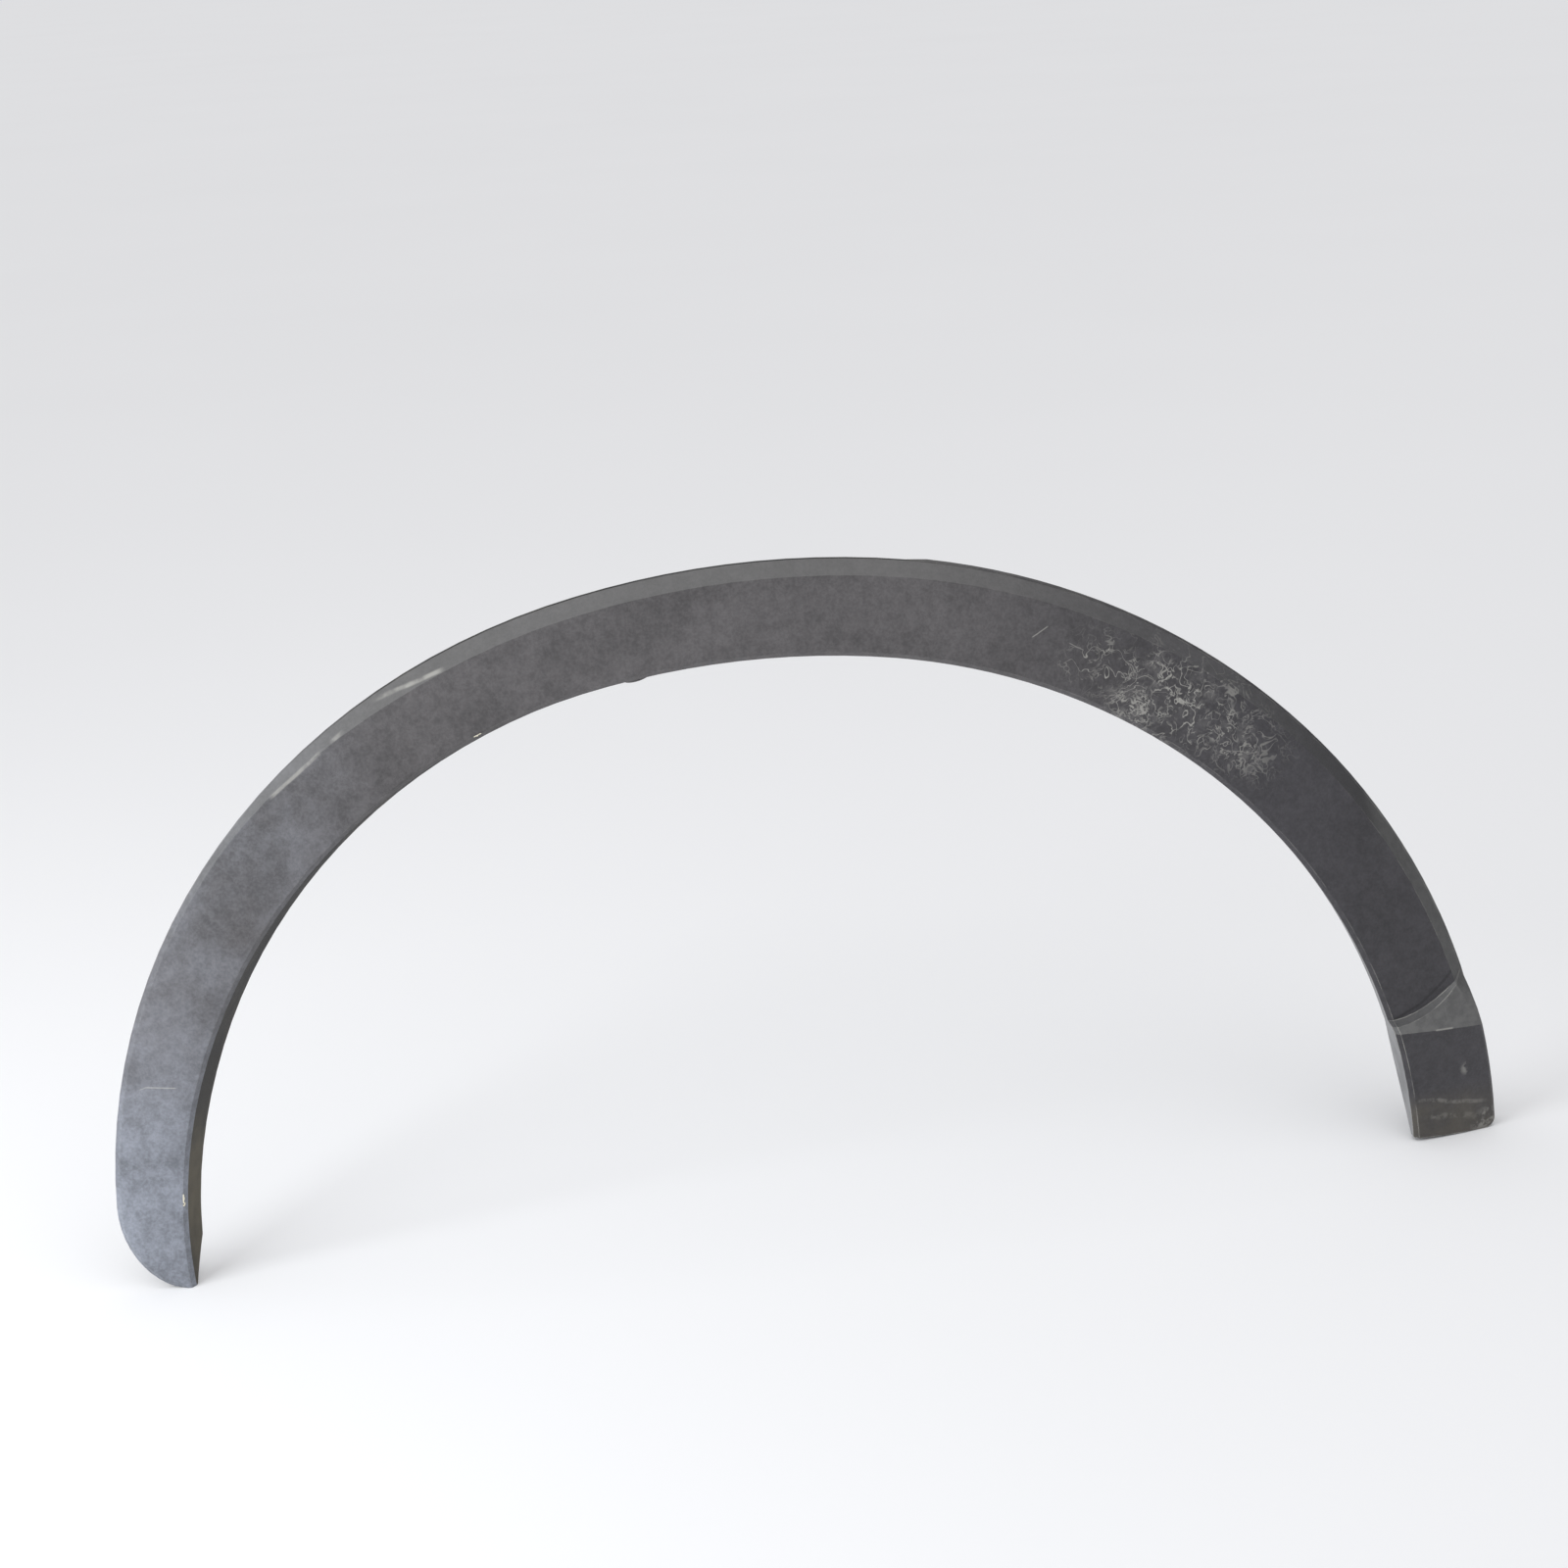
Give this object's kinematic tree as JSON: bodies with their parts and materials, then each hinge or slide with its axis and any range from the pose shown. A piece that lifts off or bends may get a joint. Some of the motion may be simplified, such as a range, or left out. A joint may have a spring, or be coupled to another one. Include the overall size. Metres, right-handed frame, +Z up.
{
  "type": "wheel arch trim",
  "caption": "Arched car wheel opening trim in black grained plastic, with an outer lip, a return flange, a stepped foot, a leaf-shaped end and push-in clips on its back.",
  "frame": {"origin": "root of the locating peg at the crown, where the peg leaves its boss on the back", "axes": "+X along the car from the leaf-shaped end to the stepped foot, +Y into the car body, so the visible face is towards -Y, +Z up"},
  "size_m": [0.9378, 0.0445, 0.4448],
  "materials": {
    "trim_plastic": "fine moulded grain, faded and lightly scuffed",
    "clip_plastic": "satin"
  },
  "bodies": {
    "root": {"arch_trim": "trim_plastic", "retaining_clip_1": "clip_plastic", "retaining_clip_2": "clip_plastic", "retaining_clip_3": "clip_plastic", "retaining_clip_4": "clip_plastic", "retaining_clip_5": "clip_plastic", "retaining_clip_6": "clip_plastic", "retaining_clip_7": "clip_plastic", "retaining_clip_8": "clip_plastic"}
  },
  "joints": []
}
